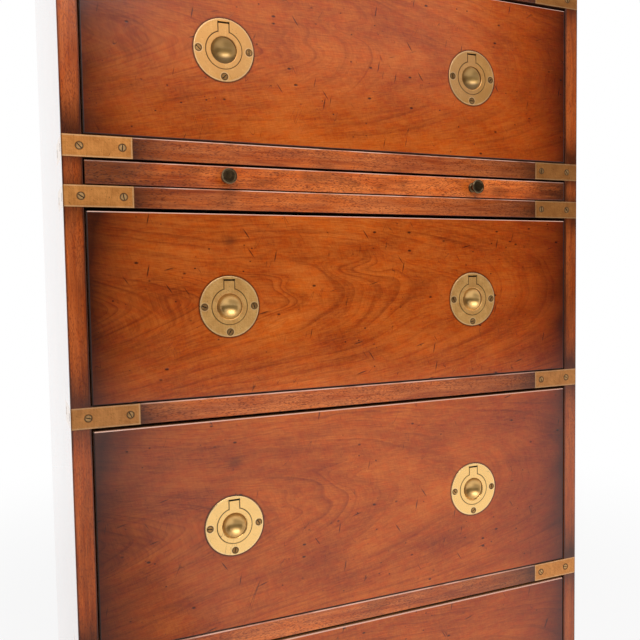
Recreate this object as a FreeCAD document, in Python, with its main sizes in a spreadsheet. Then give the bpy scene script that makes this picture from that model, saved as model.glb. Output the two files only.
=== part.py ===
import FreeCAD, Part

import math
import os
import Sketcher

# Campaign chest: a tall carcass with five long drawers and a brushing slide, bound in flush brass.
# Millimetres, +Z up, front towards -Y. The origin is on the floor under the middle of the whole chest.

DRIVING = {
    # carcass
    "carcass_width": 610.0,
    "carcass_depth": 430.0,
    "side_thickness": 18.5,
    "top_thickness": 20.5,
    "bottom_thickness": 20.5,
    "rail_height": 20.5,
    "rail_depth": 60.0,
    "rail_arris": 0.8,
    "back_thickness": 6.0,
    "back_rebate": 9.0,
    "carcass_arris": 1.0,
    # clear heights between the rails, from the top down
    "top_opening": 155.0,
    "second_opening": 189.0,
    "slide_opening": 26.0,
    "third_opening": 189.5,
    "fourth_opening": 224.0,
    "bottom_opening": 258.5,
    # plinth
    "plinth_height": 80.0,
    "plinth_thickness": 18.0,
    "plinth_inset": 4.0,
    "block_width": 35.0,
    "block_height": 60.0,
    # runners and stops inside the carcass
    "runner_width": 22.0,
    "runner_height": 16.0,
    "stop_length": 40.0,
    "stop_depth": 12.0,
    "stop_height": 5.0,
    "stop_inset": 90.0,
    "stop_clearance": 0.2,
    # drawer boxes
    "front_thickness": 19.0,
    "front_top_gap": 3.5,
    "front_bottom_gap": 1.2,
    "front_end_gap": 1.5,
    "front_arris": 1.2,
    "drawer_length": 400.0,
    "drawer_side_thickness": 9.5,
    "drawer_side_drop": 8.0,
    "drawer_back_thickness": 9.5,
    "drawer_back_drop": 4.0,
    "drawer_bottom_thickness": 5.0,
    "drawer_bottom_height": 9.0,
    "groove_depth": 5.0,
    "tail_pitch": 42.0,
    "tail_length": 13.0,
    "tail_share": 0.3,
    "tail_flare": 2.0,
    # brushing slide
    "slide_length": 340.0,
    "slide_lip_depth": 22.0,
    "slide_top_gap": 2.4,
    "slide_bottom_gap": 1.2,
    "knob_offset": 148.4,
    "knob_projection": 12.9,
    "knob_radius": 8.0,
    "knob_rim": 3.2,
    "knob_neck_radius": 4.2,
    "knob_foot_radius": 5.6,
    "knob_foot": 1.6,
    "knob_dish": 0.7,
    "knob_dish_radius": 6.2,
    "stud_radius": 1.8,
    "stud_length": 20.0,
    "stud_depth_in_knob": 7.0,
    # brass straps and corners
    "brass_thickness": 1.5,
    "strap_length": 65.0,
    "strap_return": 65.0,
    "strap_near_screw": 16.0,
    "strap_far_screw": 55.2,
    "corner_leg": 45.0,
    "corner_width": 20.5,
    "corner_cap_screw": 40.0,
    "corner_front_leg_screw": 8.0,
    "corner_side_leg_screw": 16.0,
    # countersunk slotted screws
    "screw_head_radius": 3.3,
    "screw_head_land": 0.2,
    "screw_shank_radius": 1.2,
    "screw_length": 12.0,
    "screw_tip": 2.0,
    "screw_slot_width": 0.9,
    "screw_slot_depth": 0.8,
    "screw_clearance": 0.05,
    # flush ring pulls
    "pull_offset": 147.9,
    "pull_drop": 2.6,
    "plate_radius": 31.2,
    "plate_thickness": 3.0,
    "plate_proud": 0.5,
    "plate_rim": 0.7,
    "plate_clearance": 0.3,
    "plate_screw_radius": 26.1,
    "boss_radius": 20.2,
    "boss_wall": 1.2,
    "ring_outer_radius": 18.4,
    "ring_inner_radius": 13.2,
    "ring_thickness": 2.6,
    "ring_play": 0.55,
    "ring_inner_round": 0.8,
    "tab_width": 10.9,
    "tab_top": 26.0,
    "tab_slot": 1.8,
    "tab_wall": 2.2,
    "pin_height": 23.5,
    "pin_setback": 2.2,
    "pin_radius": 1.0,
    "pin_clearance": 0.05,
    "pin_press": 0.01,
    "barrel_radius": 2.0,
    "cup_mouth_radius": 13.8,
    "cup_depth": 10.4,
}

SHEET = "sizes"
AXES = ("x", "y", "z")
ALONG_X = FreeCAD.Rotation(FreeCAD.Vector(0, 1, 0), 90)
# Degrees from one screw's slot to the next one's, so that no two neighbours look alike.
SLOT_STEP = 47.0
# Lengths closer than this, in millimetres, count as equal.
SAME = 1e-4

doc = FreeCAD.newDocument("campaign_chest")
parts = []


class Size:
    """A length worked out from the sheet: its formula, and its value now."""

    def __init__(self, text, value):
        self.text = text
        self.value = value

    def __add__(self, other):
        other = as_size(other)
        return Size(f"({self.text} + {other.text})", self.value + other.value)

    def __sub__(self, other):
        other = as_size(other)
        return Size(f"({self.text} - {other.text})", self.value - other.value)

    def __mul__(self, other):
        other = as_size(other)
        return Size(f"({self.text} * {other.text})", self.value * other.value)

    def __truediv__(self, other):
        other = as_size(other)
        return Size(f"({self.text} / {other.text})", self.value / other.value)

    def __radd__(self, other):
        return as_size(other) + self

    def __rsub__(self, other):
        return as_size(other) - self

    def __rmul__(self, other):
        return as_size(other) * self

    def __neg__(self):
        return Size(f"(0 - {self.text})", -self.value)


def as_size(value):
    if isinstance(value, Size):
        return value
    return Size(f"({value!r})", float(value))


def root_of(value):
    return Size(f"sqrt({value.text})", math.sqrt(value.value))


ZERO = as_size(0)


def make_sheet():
    """Writes the driving sizes into the sheet and returns them as named Sizes."""
    sheet = doc.addObject("Spreadsheet::Sheet", SHEET)
    named = {}
    for row, (alias, number) in enumerate(DRIVING.items(), start=1):
        sheet.set(f"A{row}", alias)
        sheet.set(f"B{row}", str(number))
        sheet.setAlias(f"B{row}", alias)
        named[alias] = Size(f"{SHEET}.{alias}", number)
    doc.recompute()
    return named


class Named:
    """The driving sizes as attributes."""

    def __init__(self, sizes):
        self.__dict__.update(sizes)


s = Named(make_sheet())


# ---------------------------------------------------------------- small tools


def bind(thing, path, value):
    thing.setExpression(path, as_size(value).text)


def place(thing, at, rotation=None):
    """Puts a thing's own origin at a point given as three sizes, turned by a rotation."""
    if rotation is not None:
        thing.Placement = FreeCAD.Placement(FreeCAD.Vector(), rotation)
    for axis, value in zip(AXES, at):
        bind(thing, f"Placement.Base.{axis}", value)
    return thing


def box(name, low, extent):
    solid = doc.addObject("Part::Box", name)
    for prop, value in zip(("Length", "Width", "Height"), extent):
        bind(solid, prop, value)
    return place(solid, low)


def slab(name, corner, signs, extent):
    """A box that runs from a corner in the directions that the signs give."""
    low = [c if sign > 0 else c - e for c, sign, e in zip(corner, signs, extent)]
    return box(name, low, extent)


def cylinder(name, radius, length, at, rotation):
    solid = doc.addObject("Part::Cylinder", name)
    bind(solid, "Radius", radius)
    bind(solid, "Height", length)
    return place(solid, at, rotation)


def sphere(name, radius, at):
    solid = doc.addObject("Part::Sphere", name)
    bind(solid, "Radius", radius)
    return place(solid, at)


def fuse(name, pieces):
    joined = doc.addObject("Part::MultiFuse", name)
    joined.Shapes = pieces
    joined.Refine = True
    return joined


def group(name, pieces):
    """Separate solids that stay separate, as one object."""
    together = doc.addObject("Part::Compound", name)
    together.Links = pieces
    return together


def cut(name, base, *stages):
    """Takes the tools away from the base, in stages whose tools stay clear of each other."""
    for number, tools in enumerate(stages, start=1):
        last = number == len(stages)
        result = doc.addObject("Part::Cut", name if last else f"{name}_stage_{number}")
        result.Base = base
        result.Tool = tools[0] if len(tools) == 1 else group(f"{name}_tools_{number}", tools)
        base = result
    return base


def copy(name, master, at, rotation=None):
    link = doc.addObject("App::Link", name)
    link.LinkedObject = master
    return place(link, at, rotation)


def round_edges(name, base, radius, wanted):
    """Rounds the edges for which wanted(edge) is true."""
    doc.recompute()
    picked = [i for i, edge in enumerate(base.Shape.Edges, start=1) if wanted(edge)]
    rounded = doc.addObject("Part::Fillet", name)
    rounded.Base = base
    rounded.Edges = [(i, radius.value, radius.value) for i in picked]
    return rounded


def keep(thing, label):
    """Marks a finished sub-part, whose label is the name of its node."""
    thing.Label = label
    parts.append(thing)
    return thing


def near(a, b):
    return abs(a - b) < SAME


def is_upright(edge):
    ends = edge.Vertexes
    return len(ends) == 2 and near(ends[0].X, ends[1].X) and near(ends[0].Y, ends[1].Y)


def is_upright_at(edge, x, y):
    """True for the upright edge that stands at x, y."""
    return is_upright(edge) and near(edge.Vertexes[0].X, x) and near(edge.Vertexes[0].Y, y)


def is_edge_on(edge, y):
    """True for an edge that lies in the plane y."""
    return all(near(vertex.Y, y) for vertex in edge.Vertexes)


def origin_plane(body, role):
    return next(f for f in body.Origin.OriginFeatures if f.Role == role)


def outline(body, plane, points):
    """A closed sketch through points, each tied to the sheet by its two distances from the origin."""
    sketch = body.newObject("Sketcher::SketchObject", body.Name + "_outline")
    sketch.AttachmentSupport = [(origin_plane(body, plane), "")]
    sketch.MapMode = "FlatFace"
    points = [(as_size(a), as_size(b)) for a, b in points]
    count = len(points)
    for i, (a, b) in enumerate(points):
        c, d = points[(i + 1) % count]
        start = FreeCAD.Vector(a.value, b.value, 0)
        end = FreeCAD.Vector(c.value, d.value, 0)
        sketch.addGeometry(Part.LineSegment(start, end))
    for i in range(count):
        sketch.addConstraint(Sketcher.Constraint("Coincident", i, 2, (i + 1) % count, 1))
    for i, point in enumerate(points):
        for kind, value in zip(("DistanceX", "DistanceY"), point):
            sketch.addConstraint(Sketcher.Constraint(kind, -1, 1, i, 1, value.value))
            bind(sketch, f"Constraints[{sketch.ConstraintCount - 1}]", value)
    return sketch


def padded_body(name, plane, points, length, middle=False):
    """A PartDesign body: one outline, padded along its plane's normal."""
    body = doc.addObject("PartDesign::Body", name)
    sketch = outline(body, plane, points)
    pad = body.newObject("PartDesign::Pad", name + "_pad")
    pad.Profile = sketch
    pad.Midplane = middle
    bind(pad, "Length", length)
    return body


def rectangle(x_low, y_low, x_high, y_high):
    return [(x_low, y_low), (x_high, y_low), (x_high, y_high), (x_low, y_high)]


def turned_body(name, points):
    """A PartDesign body turned about its own Z axis from points given as (radius, height)."""
    body = doc.addObject("PartDesign::Body", name)
    sketch = outline(body, "XZ_Plane", points)
    turning = body.newObject("PartDesign::Revolution", name + "_turning")
    turning.Profile = sketch
    turning.ReferenceAxis = (sketch, ["V_Axis"])
    turning.Angle = 360
    return body


def rounded_body(body, radius, wanted):
    """Rounds the edges of a PartDesign body for which wanted(edge) is true."""
    doc.recompute()
    last = body.Tip
    names = [f"Edge{i}" for i, edge in enumerate(last.Shape.Edges, start=1) if wanted(edge)]
    rounding = body.newObject("PartDesign::Fillet", body.Name + "_rounding")
    rounding.Base = (last, names)
    bind(rounding, "Radius", radius)
    return body


# ---------------------------------------------------------------- levels and main planes

half_width = s.carcass_width / 2
inner_half = half_width - s.side_thickness
front = (s.knob_projection - s.carcass_depth) / 2
back = front + s.carcass_depth
carcass_floor = s.plinth_height + s.bottom_thickness

OPENINGS = (
    ("drawer_5", s.bottom_opening),
    ("drawer_4", s.fourth_opening),
    ("drawer_3", s.third_opening),
    ("slide", s.slide_opening),
    ("drawer_2", s.second_opening),
    ("drawer_1", s.top_opening),
)

floors = {}
rail_levels = []
level = carcass_floor
for opening_name, opening_height in OPENINGS:
    floors[opening_name] = level
    level = level + opening_height
    if opening_name != "drawer_1":
        rail_levels.append(level)
        level = level + s.rail_height
top_underside = level
chest_height = top_underside + s.top_thickness
SIDES = (("left", -1), ("right", 1))
ENDS = (("front", 1), ("back", -1))


# ---------------------------------------------------------------- screws


def screw_profile(growth):
    """Half the section of a countersunk wood screw, head face at height 0, point upwards."""
    head = s.screw_head_radius + growth
    shank = s.screw_shank_radius + growth
    neck = s.screw_head_land + head - shank
    end = s.screw_length + growth
    return [(0, 0), (head, 0), (head, s.screw_head_land), (shank, neck), (shank, end - s.screw_tip), (0, end)]


screw_blank = turned_body("screw_blank", screw_profile(0))
screw_hole = turned_body("screw_hole", screw_profile(s.screw_clearance))
slot_extent = (3 * s.screw_head_radius, s.screw_slot_width, 2 * s.screw_slot_depth)
screw_slot = box("screw_slot", [-slot_extent[0] / 2, -slot_extent[1] / 2, -slot_extent[2] / 2], slot_extent)
screw = cut("screw", screw_blank, [screw_slot])

# How a screw is turned to be driven along each direction, from pointing along +Z.
DRIVE = {
    "back": FreeCAD.Rotation(FreeCAD.Vector(1, 0, 0), -90),
    "front": FreeCAD.Rotation(FreeCAD.Vector(1, 0, 0), 90),
    "right": FreeCAD.Rotation(FreeCAD.Vector(0, 1, 0), 90),
    "left": FreeCAD.Rotation(FreeCAD.Vector(0, 1, 0), -90),
    "down": FreeCAD.Rotation(FreeCAD.Vector(1, 0, 0), 180),
}

brass_screws = []


def drive_screw(name, at, direction):
    """Puts in one screw, its slot at an angle of its own, and returns the hole it needs."""
    turn = FreeCAD.Rotation(FreeCAD.Vector(0, 0, 1), SLOT_STEP * len(brass_screws))
    brass_screws.append(copy(name, screw, at, DRIVE[direction].multiply(turn)))
    return copy(name + "_hole", screw_hole, at, DRIVE[direction])


# ---------------------------------------------------------------- brass straps and corners


def inward(sign, value):
    """A distance measured from one side of the chest towards its middle."""
    return value - half_width if sign < 0 else half_width - value


def strap(name, sign, low):
    """An angle strap round a front corner, at one rail.

    Returns it, the recess that it needs, and its screw holes in the side and in the rail."""
    outer = s.strap_length
    points = [
        (0, 0),
        (-sign * outer, 0),
        (-sign * outer, s.brass_thickness),
        (-sign * s.brass_thickness, s.brass_thickness),
        (-sign * s.brass_thickness, s.strap_return),
        (0, s.strap_return),
    ]
    angle = padded_body(name + "_angle", "XY_Plane", points, s.rail_height)
    outer_x = inward(sign, ZERO)
    place(angle, (outer_x, front, low))
    middle = low + s.rail_height / 2
    into = "right" if sign < 0 else "left"
    near_hole = drive_screw(name + "_near", (inward(sign, s.strap_near_screw), front, middle), "back")
    far_hole = drive_screw(name + "_far", (inward(sign, s.strap_far_screw), front, middle), "back")
    side_holes = [
        near_hole,
        drive_screw(name + "_side_near", (outer_x, front + s.strap_near_screw, middle), into),
        drive_screw(name + "_side_far", (outer_x, front + s.strap_far_screw, middle), into),
    ]
    rounded = rounded_body(angle, s.carcass_arris, lambda edge: is_upright_at(edge, 0, 0))
    piece = cut(name, rounded, side_holes + [far_hole])
    return piece, angle, side_holes, far_hole


def corner(name, sign, end_sign, up):
    """A corner piece with legs on the front or back, on the side, and on the top board.

    up is 1 at the top board, and -1 at the bottom board, where no leg lies underneath.
    Returns it, its recess, and its screw holes in the side and in the board."""
    x = inward(sign, ZERO)
    y = front if end_sign > 0 else back
    board = s.top_thickness if up > 0 else s.bottom_thickness
    edge_level = chest_height if up > 0 else s.plinth_height
    joint_level = edge_level - board if up > 0 else edge_level + board
    thick = s.brass_thickness
    towards = (-sign, end_sign, -up)
    corner_point = (x, y, edge_level)
    legs = [
        slab(name + "_face", corner_point, towards, (s.strap_length, thick, board)),
        slab(name + "_face_leg", corner_point, towards, (s.side_thickness, thick, s.corner_leg)),
        slab(name + "_side", corner_point, towards, (thick, s.strap_return, board)),
        slab(name + "_side_leg", corner_point, towards, (thick, s.corner_width, s.corner_leg)),
    ]
    if up > 0:
        along_front = (s.strap_length, s.corner_width, thick)
        along_side = (s.corner_width, s.strap_return, thick)
        legs.append(slab(name + "_cap", corner_point, towards, along_front))
        legs.append(slab(name + "_cap_return", corner_point, towards, along_side))
    blank = fuse(name + "_blank", legs)
    outer = (x.value, y.value)
    rounded = round_edges(name + "_rounded", blank, s.carcass_arris, lambda edge: is_upright_at(edge, *outer))
    along = "back" if end_sign > 0 else "front"
    into = "right" if sign < 0 else "left"
    middle = (edge_level + joint_level) / 2
    face_leg_level = edge_level - up * (s.corner_leg - s.corner_front_leg_screw)
    side_leg_level = edge_level - up * (s.corner_leg - s.corner_side_leg_screw)
    side_holes = [
        drive_screw(name + "_leg_screw", (inward(sign, s.side_thickness / 2), y, face_leg_level), along),
        drive_screw(name + "_side_leg_screw", (x, y + end_sign * s.corner_width / 2, side_leg_level), into),
    ]
    board_holes = [
        drive_screw(name + "_near_screw", (inward(sign, s.strap_near_screw), y, middle), along),
        drive_screw(name + "_far_screw", (inward(sign, s.strap_far_screw), y, middle), along),
        drive_screw(name + "_side_near_screw", (x, y + end_sign * s.strap_near_screw, middle), into),
        drive_screw(name + "_side_far_screw", (x, y + end_sign * s.strap_far_screw, middle), into),
    ]
    if up > 0:
        cap_x = inward(sign, s.corner_cap_screw)
        cap_y = y + end_sign * s.corner_cap_screw
        edge_x = inward(sign, s.corner_width / 2)
        edge_y = y + end_sign * s.corner_width / 2
        board_holes.append(drive_screw(name + "_cap_screw", (cap_x, edge_y, chest_height), "down"))
        board_holes.append(drive_screw(name + "_cap_return_screw", (edge_x, cap_y, chest_height), "down"))
    piece = cut(name, rounded, side_holes + board_holes)
    return piece, blank, side_holes, board_holes


straps = []
strap_recesses = {"left": [], "right": []}
holes_in_sides = {"left": [], "right": []}
holes_in_rails = []
for index, rail_level in enumerate(rail_levels, start=1):
    for side_name, side_sign in SIDES:
        piece, recess, in_side, in_rail = strap(f"strap_{side_name}_{index}", side_sign, rail_level)
        straps.append(piece)
        strap_recesses[side_name].append(recess)
        holes_in_sides[side_name] += in_side
        holes_in_rails.append(in_rail)

corners = {1: [], -1: []}
corner_recesses = {1: [], -1: []}
holes_in_boards = {1: [], -1: []}
holes_of_back_legs = []
side_corner_recesses = {"left": [], "right": []}
for up, place_name in ((1, "top"), (-1, "base")):
    for side_name, side_sign in SIDES:
        for end_name, end_sign in ENDS:
            corner_name = f"{place_name}_corner_{side_name}_{end_name}"
            piece, recess, in_side, in_board = corner(corner_name, side_sign, end_sign, up)
            corners[up].append(piece)
            corner_recesses[up].append(recess)
            side_corner_recesses[side_name].append(recess)
            holes_in_sides[side_name] += in_side
            holes_in_boards[up] += in_board
            if end_name == "back":
                holes_of_back_legs.append(in_side[0])

keep(group("strap_group", straps), "straps")
keep(group("top_corner_group", corners[1]), "top_corners")
keep(group("base_corner_group", corners[-1]), "base_corners")
keep(group("brass_screw_group", brass_screws), "brass_screws")


# ---------------------------------------------------------------- carcass


def carcass_board(label, low, thickness, up):
    plan = rectangle(-half_width, front, half_width, back)
    board = padded_body(label + "_blank", "XY_Plane", plan, thickness)
    place(board, (0, 0, low))
    upright = rounded_body(board, s.carcass_arris, is_upright)
    keep(cut(label + "_cut", upright, corner_recesses[up], holes_in_boards[up]), label)


def carcass_side(side_name, sign):
    """One side, rebated behind for the back panel, with its recesses and screw holes."""
    outer = inward(sign, ZERO)
    inner = inward(sign, s.side_thickness)
    rebate = inward(sign, s.side_thickness - s.back_rebate)
    seat = back - s.back_thickness
    points = [(outer, front), (inner, front), (inner, seat), (rebate, seat), (rebate, back), (outer, back)]
    blank = padded_body(f"side_{side_name}_blank", "XY_Plane", points, top_underside - carcass_floor)
    place(blank, (0, 0, carcass_floor))
    arrises = ((outer.value, front.value), (outer.value, back.value), (inner.value, front.value))

    def is_arris(edge):
        return any(is_upright_at(edge, *at) for at in arrises)

    rounded = rounded_body(blank, s.carcass_arris, is_arris)
    recesses = strap_recesses[side_name] + side_corner_recesses[side_name]
    keep(cut(f"side_{side_name}_cut", rounded, recesses, holes_in_sides[side_name]), f"side_{side_name}")


def is_long_front_edge(edge):
    return is_edge_on(edge, front.value) and not is_upright(edge)


def front_rails():
    rails = []
    for number, rail_level in enumerate(rail_levels, start=1):
        low = (-inner_half, front, rail_level)
        blank = box(f"rail_{number}_blank", low, (2 * inner_half, s.rail_depth, s.rail_height))
        rails.append(round_edges(f"rail_{number}", blank, s.rail_arris, is_long_front_edge))
    recesses = strap_recesses["left"] + strap_recesses["right"]
    keep(cut("front_rails_cut", group("rails", rails), recesses, holes_in_rails), "front_rails")


def runners():
    """A pair of runners behind each rail, level with its top.

    Their undersides keep the drawer below from tipping as it comes out."""
    pieces = []
    length = s.carcass_depth - s.rail_depth - s.back_thickness
    for number, rail_level in enumerate(rail_levels, start=1):
        for side_name, sign in SIDES:
            corner_point = (sign * inner_half, front + s.rail_depth, rail_level + s.rail_height)
            extent = (s.runner_width, length, s.runner_height)
            pieces.append(slab(f"runner_{side_name}_{number}", corner_point, (-sign, 1, -1), extent))
    keep(group("runner_group", pieces), "drawer_runners")


def stops():
    """Blocks that each drawer front and the slide come to rest against."""
    pieces = []
    for opening_name, floor_level in floors.items():
        for side_name, sign in SIDES:
            name = f"stop_{opening_name}_{side_name}"
            if opening_name == "slide":
                corner_point = (sign * inner_half, front + s.slide_length + s.stop_clearance, floor_level)
                extent = (s.runner_width, s.stop_depth, s.stop_height)
            else:
                y = front + s.front_thickness + s.stop_clearance
                corner_point = (sign * (inner_half - s.stop_inset), y, floor_level)
                extent = (s.stop_length, s.stop_depth, s.stop_height)
            pieces.append(slab(name, corner_point, (-sign, 1, 1), extent))
    keep(group("stop_group", pieces), "drawer_stops")


def back_panel():
    width = 2 * (inner_half + s.back_rebate)
    low = (-width / 2, back - s.back_thickness, carcass_floor)
    board = box("back_board", low, (width, s.back_thickness, top_underside - carcass_floor))
    recesses = corner_recesses[1] + corner_recesses[-1]
    keep(cut("back_board_cut", board, recesses, holes_of_back_legs), "back_panel")


def plinth():
    """Four boards under the bottom board, and a glue block in each corner."""
    half = half_width - s.plinth_inset
    thick = s.plinth_thickness
    face = front + s.plinth_inset
    rear = back - s.plinth_inset
    long_board = (2 * half, thick, s.plinth_height)
    keep(box("plinth_front_board", (-half, face, 0), long_board), "plinth_front")
    keep(box("plinth_back_board", (-half, rear - thick, 0), long_board), "plinth_back")
    side_boards = []
    blocks = []
    for side_name, sign in SIDES:
        corner_point = (sign * half, face + thick, ZERO)
        extent = (thick, rear - face - 2 * thick, s.plinth_height)
        side_boards.append(slab(f"plinth_{side_name}", corner_point, (-sign, 1, 1), extent))
        for end_name, end_sign in ENDS:
            y = face + thick if end_sign > 0 else rear - thick
            corner_point = (sign * (half - thick), y, s.plinth_height)
            extent = (s.block_width, s.block_width, s.block_height)
            blocks.append(slab(f"block_{side_name}_{end_name}", corner_point, (-sign, end_sign, -1), extent))
    keep(group("plinth_side_group", side_boards), "plinth_sides")
    keep(group("block_group", blocks), "plinth_blocks")


carcass_board("top_board", top_underside, s.top_thickness, 1)
carcass_board("bottom_board", s.plinth_height, s.bottom_thickness, -1)
for side_name, side_sign in SIDES:
    carcass_side(side_name, side_sign)
front_rails()
runners()
stops()
back_panel()
plinth()


# ---------------------------------------------------------------- flush ring pulls
# Modelled about the middle of the plate's face, with Y running into the drawer.

INTO_DRAWER = DRIVE["back"]
FACE_MIDDLE = (ZERO, ZERO, ZERO)
ring_floor = s.ring_thickness + s.ring_play
tab_reach = s.tab_top - s.pin_height
tab_swing = root_of(s.pin_setback * s.pin_setback + tab_reach * tab_reach)
pocket_depth = s.pin_setback + tab_swing + s.ring_play
slot_top = s.tab_top + s.tab_slot
cup_rise = s.cup_depth - ring_floor
cup_sphere = (s.cup_mouth_radius * s.cup_mouth_radius + cup_rise * cup_rise) / (2 * cup_rise)
boss_depth = s.cup_depth + s.boss_wall
pocket_wall_top = slot_top + s.plate_rim
tab_half = s.tab_width / 2
slot_half = tab_half + s.ring_play
housing_half = slot_half + s.tab_wall


def disc(name, radius, depth):
    return cylinder(name, radius, depth, FACE_MIDDLE, INTO_DRAWER)


def cross_pin(name, radius, half_length):
    """A cylinder across the pull on the hinge axis."""
    at = (-half_length, s.pin_setback, s.pin_height)
    return cylinder(name, radius, 2 * half_length, at, ALONG_X)


def block_on(name, half, low, top, depth):
    """A block behind the plate's face, centred on the pull."""
    return box(name, (-half, 0, low), (2 * half, depth, top - low))


def rim_of(radius):
    """Returns the test for the front rim of that radius."""

    def is_front_rim(edge):
        circle = edge.Curve
        if not isinstance(circle, Part.Circle):
            return False
        return near(circle.Radius, radius.value) and near(edge.CenterOfMass.y, 0)

    return is_front_rim


def plate_screws():
    """Screw places on the plate: left, right and bottom."""
    return (
        ("left", (-s.plate_screw_radius, ZERO, ZERO)),
        ("right", (s.plate_screw_radius, ZERO, ZERO)),
        ("bottom", (ZERO, ZERO, -s.plate_screw_radius)),
    )


plate_holes = [copy(f"plate_hole_{side}", screw_hole, at, INTO_DRAWER) for side, at in plate_screws()]


def pull_base():
    """The cast plate with its ring recess, cup, hinge pocket and screw holes."""
    plate = disc("plate", s.plate_radius, s.plate_thickness)
    rimmed = round_edges("plate_rimmed", plate, s.plate_rim, rim_of(s.plate_radius))
    casting = fuse(
        "pull_casting",
        [
            rimmed,
            disc("cup_boss", s.boss_radius, boss_depth),
            block_on("hinge_boss", housing_half, 0, pocket_wall_top, pocket_depth + s.boss_wall),
        ],
    )
    pocket_low = s.pin_height - s.barrel_radius - 2 * s.ring_play
    hollow = [
        disc("ring_recess", s.ring_outer_radius + s.ring_play, ring_floor),
        block_on("tab_recess", slot_half, 0, slot_top, ring_floor),
        block_on("hinge_pocket", slot_half, pocket_low, slot_top, pocket_depth),
        sphere("cup", cup_sphere, (0, s.cup_depth - cup_sphere, 0)),
        cross_pin("pin_seat", s.pin_radius + s.pin_press, slot_half + s.tab_wall),
    ]
    return cut("pull_base", casting, [fuse("pull_hollow", hollow)] + plate_holes)


def pull_ring():
    """The ring, with the tab that the pin goes through."""
    blank = fuse(
        "ring_blank",
        [
            disc("ring_disc", s.ring_outer_radius, s.ring_thickness),
            block_on("ring_tab", tab_half, 0, s.tab_top, s.ring_thickness),
            cross_pin("ring_barrel", s.barrel_radius, tab_half),
        ],
    )
    bores = [
        disc("finger_hole", s.ring_inner_radius, s.ring_thickness),
        cross_pin("pin_bore", s.pin_radius + s.pin_clearance, tab_half),
    ]
    ring = cut("ring_plain", blank, bores)
    return round_edges("ring", ring, s.ring_inner_round, rim_of(s.ring_inner_radius))


def pull_recess():
    """What the pull takes out of the drawer front."""
    room = s.plate_clearance
    hinge_depth = pocket_depth + s.boss_wall + room
    return fuse(
        "pull_recess",
        [
            disc("plate_seat", s.plate_radius + room, s.plate_thickness),
            disc("boss_seat", s.boss_radius + room, boss_depth + room),
            block_on("hinge_seat", housing_half + room, 0, pocket_wall_top + room, hinge_depth),
        ]
        + plate_holes,
    )


ring_master = pull_ring()
base_master = pull_base()
recess_master = pull_recess()
pin_master = group("pull_pin", [cross_pin("pull_pin_rod", s.pin_radius, slot_half + s.tab_wall)])


# ---------------------------------------------------------------- drawers


def tail_outline(low, top):
    """The side of a drawer seen from the end of the chest, with its dovetails at the front end."""
    shoulder = front + s.front_thickness
    tip = shoulder - s.tail_length
    rear = front + s.drawer_length
    count = max(2, round((top.value - low.value) / s.tail_pitch.value))
    pitch = (top - low) / count
    half = pitch * s.tail_share
    points = [(rear, low), (rear, top), (shoulder, top)]
    for tail in reversed(range(count)):
        middle = low + pitch * (tail + 0.5)
        points += [
            (shoulder, middle + half),
            (tip, middle + half + s.tail_flare),
            (tip, middle - half - s.tail_flare),
            (shoulder, middle - half),
        ]
    points.append((shoulder, low))
    return points


def drawer_pulls(name, pull_level):
    """The pair of pulls of one drawer. Returns the recesses for its front."""
    recesses = []
    bases = []
    fixings = []
    for side_name, sign in SIDES:
        at = (sign * s.pull_offset, front - s.plate_proud, pull_level)
        recesses.append(copy(f"{name}_recess_{side_name}", recess_master, at))
        bases.append(copy(f"{name}_base_{side_name}", base_master, at))
        fixings.append(copy(f"{name}_pin_{side_name}", pin_master, at))
        for index, (screw_side, offset) in enumerate(plate_screws()):
            turn = FreeCAD.Rotation(FreeCAD.Vector(0, 0, 1), SLOT_STEP * (index + len(parts)))
            spot = [a + b for a, b in zip(at, offset)]
            rotation = INTO_DRAWER.multiply(turn)
            fixings.append(copy(f"{name}_screw_{side_name}_{screw_side}", screw, spot, rotation))
        ring = group(f"{name}_ring_{side_name}_group", [ring_master])
        keep(place(ring, at), f"{name}_ring_{side_name}")
    keep(group(f"{name}_bases", bases), f"{name}_pull_bases")
    keep(group(f"{name}_fixings", fixings), f"{name}_pull_fixings")
    return recesses


def drawer(name, floor_level, opening):
    half = inner_half - s.front_end_gap
    inside = half - s.drawer_side_thickness
    low = floor_level + s.front_bottom_gap
    top = floor_level + opening - s.front_top_gap
    side_top = top - s.drawer_side_drop
    shoulder = front + s.front_thickness
    rear = front + s.drawer_length
    bottom_level = floor_level + s.drawer_bottom_height
    bottom_top = bottom_level + s.drawer_bottom_thickness

    panel_half = inside + s.groove_depth
    panel_front = shoulder - s.groove_depth
    panel_low = (-panel_half, panel_front, bottom_level)
    panel_extent = (2 * panel_half, rear - panel_front, s.drawer_bottom_thickness)
    bottom = keep(box(f"{name}_panel", panel_low, panel_extent), f"{name}_bottom")

    boards = []
    tails = tail_outline(floor_level, side_top)
    for side_name, sign in SIDES:
        board = padded_body(f"{name}_side_{side_name}", "YZ_Plane", tails, s.drawer_side_thickness)
        boards.append(place(board, (inside if sign > 0 else -half, 0, 0)))
    keep(cut(f"{name}_sides_cut", group(f"{name}_boards", boards), [bottom]), f"{name}_sides")

    back_low = (-inside, rear - s.drawer_back_thickness, bottom_top)
    back_extent = (2 * inside, s.drawer_back_thickness, side_top - s.drawer_back_drop - bottom_top)
    keep(box(f"{name}_back_board", back_low, back_extent), f"{name}_back")

    recesses = drawer_pulls(name, floor_level + opening / 2 - s.pull_drop)
    plan = rectangle(-half, 0, half, s.front_thickness)
    blank = padded_body(f"{name}_front_blank", "XY_Plane", plan, top - low)
    place(blank, (0, front, low))
    rounded = rounded_body(blank, s.front_arris, lambda edge: is_edge_on(edge, 0))
    keep(cut(f"{name}_front_cut", rounded, recesses, boards, [bottom]), f"{name}_front")


for opening_name, opening_height in OPENINGS:
    if opening_name != "slide":
        drawer(opening_name, floors[opening_name], opening_height)


# ---------------------------------------------------------------- brushing slide


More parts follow.
